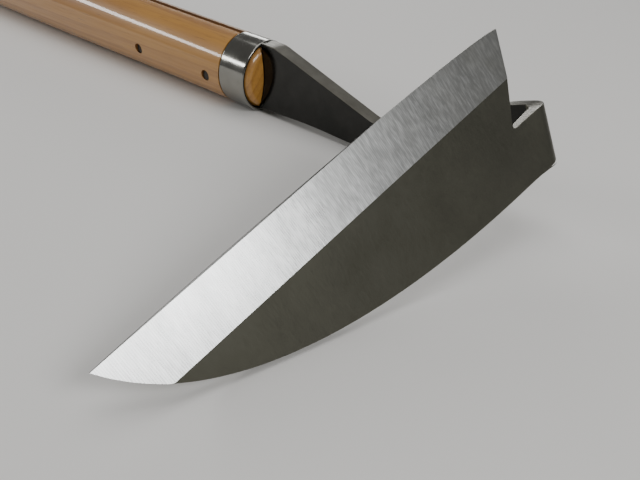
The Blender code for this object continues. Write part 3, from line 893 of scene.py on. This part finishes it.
def cut_across(obj, distances):
    """Cut edges across the plate, parallel to the fold line."""
    bm = bmesh.new()
    bm.from_mesh(obj.data)
    for distance in distances:
        place = FOLD_TOP + ALONG * (distance - FOLD_TANGENT)
        bmesh.ops.bisect_plane(bm, geom=bm.verts[:] + bm.edges[:] + bm.faces[:],
                               dist=SNAP, plane_co=(place.x, 0.0, place.y),
                               plane_no=(ALONG.x, 0.0, ALONG.y))
    bmesh.ops.dissolve_degenerate(bm, edges=bm.edges, dist=SLIVER)
    bm.to_mesh(obj.data)
    bm.free()


def thin_out(obj):
    """Taper the plate from the ferrule to the fold, and on to the blade's thickness."""
    ferrule_end = past_bend_start(Vector((SLIP_GAP, 0.0, 0.0)))
    for vert in obj.data.vertices:
        d = past_bend_start(vert.co)
        if d < 0.0:
            thickness = FOLD_THICKNESS + (NECK_THICKNESS - FOLD_THICKNESS) * d / ferrule_end
        else:
            share = min(d / (FOLD_ARC + TAB_TAPER), 1.0)
            share = share * share * (3.0 - 2.0 * share)
            thickness = FOLD_THICKNESS + (BLADE_THICKNESS - FOLD_THICKNESS) * share
        vert.co.y *= thickness / NECK_THICKNESS


def dress_stock(obj):
    """Give the neck's sides, the blade's faces and the rims their finishes."""
    for mat in (FILED_RIM, POLISHED_NECK, SATIN_FLAT):
        obj.data.materials.append(mat)
    for face in obj.data.polygons:
        if abs(face.normal.y) < RIM_LEAN:
            face.material_index = 0
        elif past_bend_start(face.center) < 0.0:
            face.material_index = 1
        else:
            face.material_index = 2


steel = plate("forged_steel", outline, NECK_THICKNESS, RIM_ROUND)
bend_cuts = [FOLD_ARC * i / FOLD_CUTS for i in range(FOLD_CUTS)]
tab_cuts = [FOLD_ARC + TAB_TAPER * i / TAB_CUTS for i in range(TAB_CUTS + 1)]
cut_across(steel, bend_cuts + tab_cuts)
thin_out(steel)
dress_stock(steel)
print("stock faces:", len(steel.data.polygons))

# %% Grinding
GRIND_WIDTH = 0.0132
EDGE_LEFT = 0.00025
HONE_START = 0.050
HONE_INSET = 0.0002
HONE_ANGLE = radians(16.5)
GRIND_OVERRUN = 0.008        # how far the grinding runs past both ends of the edge


def grind(obj, name, near, far, angle, mat):
    """Grind the blade's outer face along a line, sloping down to the cutting edge.

    near and far are (along the edge, depth behind the edge's line, height of steel left).
    """
    ends = []
    for along, into, left in (near, far):
        place = flat(*from_edge(along, into))
        ends.append(Vector((place.x, left - BLADE_THICKNESS / 2, place.y)))
    run = (ends[1] - ends[0]).normalized()
    towards_edge = run.cross(ACROSS).normalized()
    slope = towards_edge * cos(angle) - ACROSS * sin(angle)
    wheel = block(name, (0.0, 0.0, 0.0),
                  (GRIND_WIDTH * 2, (ends[1] - ends[0]).length, BLADE_THICKNESS * 3), mat)
    turn = Matrix((slope, run, slope.cross(run))).transposed().to_4x4()
    wheel.data.transform(Matrix.Translation(ends[0]) @ turn)
    return combine(obj, wheel, "DIFFERENCE")


rise = (BLADE_THICKNESS - EDGE_LEFT) / (GRIND_WIDTH + EDGE_BULGE)
steel = grind(steel, "main_grind", (-GRIND_OVERRUN, GRIND_WIDTH, BLADE_THICKNESS),
              (EDGE_LENGTH + GRIND_OVERRUN, GRIND_WIDTH, BLADE_THICKNESS), atan(rise),
              GROUND_BEVEL)
tip_left = EDGE_LEFT + (EDGE_BULGE - HONE_INSET) * rise
steel = grind(steel, "hone", (HONE_START, -EDGE_BULGE, EDGE_LEFT),
              (EDGE_LENGTH, -HONE_INSET, tip_left), HONE_ANGLE, HONED_EDGE)
print("bevel angle, degrees:", round(atan(rise) * 180 / pi, 1))

# %% [markdown]
# ## Forging: tang, drawing attribute and fold
# The tang is joined on while everything is still flat. Before the fold, each point's place on
# the drawing is stored on the mesh, so that the finishes can follow the steel. The fold then
# turns every point past the bend's start round the bend's middle line.

# %% Tang, drawing attribute and fold
TANG_INSET = 0.0021
TANG_END_X = -0.079
TANG_END_HALF_HEIGHT = 0.0085
TANG_LEAD = 0.003            # cut corners at its end, and its lap inside the neck


def make_tang():
    half, end, lead = BORE_RADIUS - TANG_INSET, TANG_END_HALF_HEIGHT, TANG_LEAD
    sides = [(TANG_END_X, -end + lead), (TANG_END_X + lead, -end), (-FERRULE_LENGTH, -half),
             (SLIP_GAP + lead, -half), (SLIP_GAP + lead, half), (-FERRULE_LENGTH, half),
             (TANG_END_X + lead, end), (TANG_END_X, end - lead)]
    holes = [((x, PIN_Z), PIN_DIAMETER / 2 + PIN_GAP) for x in (FRONT_PIN_X, REAR_PIN_X)]
    tang = plate("tang", sides, TANG_THICKNESS, 0.0, holes)
    tang.data.materials.append(FILED_RIM)
    return tang


def remember_drawing(obj):
    """Store each point's place along the cutting edge and behind it."""
    drawing = obj.data.attributes.new("drawn", "FLOAT_VECTOR", "POINT")
    heel = flat(*HEEL_CORNER)
    along = flat(*from_edge(1.0, 0.0)) - heel
    into = flat(*from_edge(0.0, 1.0)) - heel
    for vert, value in zip(obj.data.vertices, drawing.data):
        place = Vector((vert.co.x, vert.co.z)) - heel
        value.vector = (place.dot(along), place.dot(into), vert.co.y)


def fold(obj):
    """Turn everything past the bend's start round the bend, towards -Y."""
    start = FOLD_TOP - ALONG * FOLD_TANGENT
    along, up = Vector((ALONG.x, 0.0, ALONG.y)), Vector((UP.x, 0.0, UP.y))
    centre = Vector((start.x, -FOLD_RADIUS, start.y))
    for vert in obj.data.vertices:
        d = past_bend_start(vert.co)
        if d <= 0.0:
            continue
        height = (vert.co - Vector((start.x, 0.0, start.y))).dot(up)
        turn = min(d / FOLD_RADIUS, FOLD_TURN)
        beyond = max(0.0, d - FOLD_ARC)
        outward = along * sin(turn) + ACROSS * cos(turn)
        onward = along * cos(turn) - ACROSS * sin(turn)
        radius = FOLD_RADIUS + vert.co.y
        vert.co = centre + up * height + outward * radius + onward * beyond


steel = combine(steel, make_tang(), "UNION")
remember_drawing(steel)
fold(steel)
print("forging faces:", len(steel.data.polygons), "finishes:", len(steel.data.materials))

# %% [markdown]
# ## Putting it together
# Each piece moves from the tool's axes to its place on the bench, gets smooth shading with
# creases where two faces meet at an angle or where the finish changes, and takes over from
# the CAD node that it stands for. Weighted normals keep the broad faces truly flat beside
# their rounded rims.

# %% Placing, shading and riding
def settle(obj, node, crease, mat=None):
    """Lay a piece on the bench, shade it and let it stand for its CAD node."""
    obj.data.transform(LIE)
    if mat is not None:
        obj.data.materials.clear()
        obj.data.materials.append(mat)
    obj.data.shade_smooth()
    obj.data.set_sharp_from_angle(angle=crease)
    bm = bmesh.new()
    bm.from_mesh(obj.data)
    for edge in bm.edges:
        if len({face.material_index for face in edge.link_faces}) > 1:
            edge.smooth = False
    bm.to_mesh(obj.data)
    bm.free()
    normals = obj.modifiers.new("weighted normals", "WEIGHTED_NORMAL")
    normals.keep_sharp = True
    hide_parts(node)
    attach(obj, "root")
    places = [vert.co for vert in obj.data.vertices]
    low = [min(place[i] for place in places) for i in range(3)]
    high = [max(place[i] for place in places) for i in range(3)]
    cad_low, cad_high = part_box(node)
    miss = max(abs(a - b) for a, b in zip((*low, *high), (*cad_low, *cad_high)))
    print(obj.name, "stands for", node, "and its box differs by at most, mm:",
          round(miss * 1000, 3))


settle(steel, "forging", radians(24.0))
settle(handle, "handle", radians(40.0))
settle(ferrule, "ferrule", radians(50.0), POLISHED_RING)
settle(front_pin, "front_pin", radians(50.0), DARK_PIN)
settle(rear_pin, "rear_pin", radians(50.0), DARK_PIN)

# %% [markdown]
# ## Floor and light
# Polished steel shows what stands round it, so the light is arranged by what each face
# should mirror. The bevel leans up more than the flat does, so a soft box high beyond the
# blade fills the bevel and leaves the flat quiet. A long low strip on the handle's near side
# draws the streak along the handle and the ring, a small strip behind picks out the top rims,
# and a broad overhead box lifts the pale floor.

# %% Floor
FLOOR_HALF = 3.0


def make_floor():
    mesh = bpy.data.meshes.new("floor")
    corners = ((-1, -1), (1, -1), (1, 1), (-1, 1))
    mesh.from_pydata([(x * FLOOR_HALF, y * FLOOR_HALF, 0.0) for x, y in corners], [],
                     [(0, 1, 2, 3)])
    obj = bpy.data.objects.new("floor", mesh)
    WORKSHOP.objects.link(obj)
    mesh.materials.append(finish("pale_floor", (0.76, 0.75, 0.73), 0.0, 0.85))
    return obj


floor = make_floor()
print("floor is", round(floor.dimensions.x, 1), "m wide")

# %% Lights
BLADE_MIDDLE = LIE @ Vector((0.100, -0.080, 0.020))
HANDLE_MIDDLE = LIE @ Vector((-0.040, 0.0, 0.0))


def soft_box(name, aim, direction, distance, width, height, power):
    """An area light that looks at a point from a direction."""
    data = bpy.data.lights.new(name, "AREA")
    data.shape = "RECTANGLE"
    data.size = width
    data.size_y = height
    data.energy = power
    box = bpy.data.objects.new(name, data)
    direction = Vector(direction).normalized()
    box.location = aim + direction * distance
    box.rotation_euler = direction.to_track_quat("Z", "Y").to_euler()
    WORKSHOP.objects.link(box)
    return box


soft_box("bevel box", BLADE_MIDDLE, (0.79, -0.07, 0.59), 0.90, 0.46, 0.30, 4.0)
soft_box("rear strip", HANDLE_MIDDLE, (-0.70, 0.72, 0.30), 1.00, 0.50, 0.20, 1.6)
soft_box("left strip", HANDLE_MIDDLE, (-0.80, -0.55, 0.34), 1.00, 0.80, 0.10, 3.2)
soft_box("overhead box", BLADE_MIDDLE, (-0.20, 0.25, 1.0), 1.40, 1.30, 1.30, 9.0)

world = bpy.data.worlds.new("studio")
world.use_nodes = True
world.node_tree.nodes["Background"].inputs["Color"].default_value = (0.84, 0.83, 0.81, 1.0)
world.node_tree.nodes["Background"].inputs["Strength"].default_value = 0.22
bpy.context.scene.world = world
print("lights:", sorted(light.name for light in bpy.data.lights))
